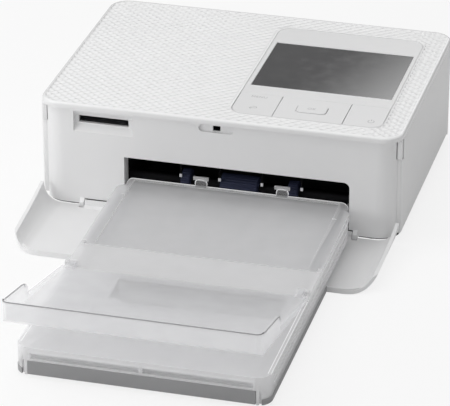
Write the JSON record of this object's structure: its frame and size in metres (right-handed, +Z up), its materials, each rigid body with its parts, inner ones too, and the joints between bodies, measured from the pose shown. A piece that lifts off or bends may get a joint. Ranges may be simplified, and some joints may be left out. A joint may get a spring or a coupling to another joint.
{
  "type": "compact photo printer",
  "caption": "Low white box printer with a tilted-open front cover, a frosted paper cassette in its front slot, a display and keys on top and a side door over the ribbon cartridge.",
  "frame": {"origin": "centre of the whole part's footprint on the table, cassette and open cover included", "axes": "+X to the printer's right as seen from the front, +Y to its back, +Z up; the cassette comes out towards -Y"},
  "size_m": [0.1822, 0.3117, 0.0578],
  "materials": {
    "white_shell": "fine satin",
    "white_panel": "smooth satin",
    "dark_glass": "clear over dark",
    "metal": "bare",
    "heat_metal": "bare",
    "black_plastic": "matte",
    "grey_plastic": "matte",
    "pale_plastic": "matte",
    "board_green": "solder mask",
    "navy_rubber": "matte",
    "black_rubber": "matte",
    "frosted_clear": "frosted",
    "film": "film",
    "paper": "paper"
  },
  "bodies": {
    "printer": {"base_chassis": "white_shell", "front_frame": "white_shell", "inner_frame": "white_shell", "side_panel_left": "white_shell", "rear_panel": "white_shell", "top_cover": "white_shell", "control_panel": "white_panel", "display_glass": "dark_glass", "display_module": "metal", "key_board": "board_green", "key_switches": "black_plastic", "card_socket": "metal", "catch_block": "black_plastic", "paper_tunnel": "black_plastic", "tunnel_ribs": "black_plastic", "guide_tips": "pale_plastic", "mech_frame": "metal", "print_head": "black_plastic", "heat_sink": "heat_metal", "feed_motor": "metal", "platen_motor": "metal", "main_board": "board_green", "board_parts": "black_plastic", "dc_inlet": "black_plastic", "usb_port": "metal", "rubber_feet": "black_rubber", "base_screws": "metal", "cartridge_shell": "black_plastic", "ribbon_film": "film"},
    "supply": {"supply_spool": "film"},
    "takeup": {"takeup_spool": "grey_plastic"},
    "feed_roller": {"feed_shaft": "metal", "feed_rubbers": "navy_rubber", "feed_gear": "pale_plastic"},
    "feed_drive": {"feed_pinion": "pale_plastic"},
    "platen": {"platen_shaft": "metal", "platen_rubber": "navy_rubber", "platen_gear": "pale_plastic"},
    "platen_drive": {"platen_pinion": "pale_plastic"},
    "eject": {"eject_lever": "grey_plastic"},
    "key_left": {"menu_key": "white_panel"},
    "key_middle": {"nav_plate": "white_panel"},
    "key_ok": {"ok_button": "white_panel"},
    "key_right": {"power_key": "white_panel"},
    "side_door": {"cartridge_door": "white_shell"},
    "cover": {"front_cover": "white_shell", "cover_pins": "metal"},
    "cassette": {"cassette_base": "frosted_clear", "cassette_strip": "grey_plastic", "paper_stack": "paper"},
    "sheet_lid": {"inner_lid": "frosted_clear"},
    "tray_lid": {"outer_lid": "frosted_clear", "lid_pins": "metal"},
    "lifter": {"lift_plate": "pale_plastic"}
  },
  "joints": [
    {"name": "front_cover_hinge", "type": "hinge", "parent": "printer", "child": "cover", "pos_m": [0, 0.0233, 0.0013], "axis": [-1, 0, 0], "range_deg": [0, 2]},
    {"name": "cartridge_door_hinge", "type": "hinge", "parent": "printer", "child": "side_door", "pos_m": [0.0893, 0.08875, 0.0066], "axis": [0, 1, 0], "range_deg": [0, 90]},
    {"name": "cassette_slide", "type": "slide", "parent": "printer", "child": "cassette", "axis": [0, -1, 0], "range_m": [0, 0.17]},
    {"name": "tray_lid_hinge", "type": "hinge", "parent": "cassette", "child": "tray_lid", "pos_m": [0.0094, -0.06625, 0.0186], "axis": [-1, 0, 0], "range_deg": [0, 125]},
    {"name": "sheet_lid_hinge", "type": "hinge", "parent": "cassette", "child": "sheet_lid", "pos_m": [0.0094, -0.04225, 0.0163], "axis": [1, 0, 0], "range_deg": [0, 4.5]},
    {"name": "lift_plate_hinge", "type": "hinge", "parent": "cassette", "child": "lifter", "pos_m": [0.0092, -0.03825, 0.0089], "axis": [-1, 0, 0], "range_deg": [0, 0.8], "stiffness_Nm_per_rad": 0.4, "springref_deg": -2.86},
    {"name": "menu_key_press", "type": "hinge", "parent": "printer", "child": "key_left", "pos_m": [0.012, 0.05723, 0.0574], "axis": [1, 0, 0], "range_deg": [0, 1.8], "stiffness_Nm_per_rad": 0.5, "springref_deg": -1.15},
    {"name": "nav_plate_press", "type": "hinge", "parent": "printer", "child": "key_middle", "pos_m": [0.042, 0.05723, 0.0574], "axis": [1, 0, 0], "range_deg": [0, 1.8], "stiffness_Nm_per_rad": 0.5, "springref_deg": -1.15},
    {"name": "power_key_press", "type": "hinge", "parent": "printer", "child": "key_right", "pos_m": [0.07, 0.05723, 0.0574], "axis": [1, 0, 0], "range_deg": [0, 1.8], "stiffness_Nm_per_rad": 0.5, "springref_deg": -1.15},
    {"name": "ok_button_press", "type": "slide", "parent": "printer", "child": "key_ok", "axis": [0, 0, -1], "range_m": [0, 0.0005], "stiffness_N_per_m": 300, "springref_m": -0.0005},
    {"name": "eject_lever_press", "type": "slide", "parent": "printer", "child": "eject", "axis": [0, 0, -1], "range_m": [0, 0.004], "stiffness_N_per_m": 150, "springref_m": -0.002},
    {"name": "feed_roller_turn", "type": "hinge", "parent": "printer", "child": "feed_roller", "pos_m": [0, 0.03375, 0.0174], "axis": [1, 0, 0], "continuous": true},
    {"name": "feed_drive_turn", "type": "hinge", "parent": "printer", "child": "feed_drive", "pos_m": [-0.056, 0.04218, 0.02447], "axis": [1, 0, 0], "continuous": true},
    {"name": "platen_turn", "type": "hinge", "parent": "printer", "child": "platen", "pos_m": [0, 0.10075, 0.0145], "axis": [1, 0, 0], "continuous": true},
    {"name": "platen_drive_turn", "type": "hinge", "parent": "printer", "child": "platen_drive", "pos_m": [-0.056, 0.1114, 0.02196], "axis": [1, 0, 0], "continuous": true},
    {"name": "supply_spool_turn", "type": "hinge", "parent": "printer", "child": "supply", "pos_m": [0, 0.08075, 0.034], "axis": [1, 0, 0], "continuous": true},
    {"name": "takeup_spool_turn", "type": "hinge", "parent": "printer", "child": "takeup", "pos_m": [0, 0.12075, 0.034], "axis": [1, 0, 0], "continuous": true}
  ],
  "couplings": [
    {"joint": "feed_drive_turn", "follows": "feed_roller_turn", "ratio": -1.2},
    {"joint": "platen_drive_turn", "follows": "platen_turn", "ratio": -1.6}
  ]
}
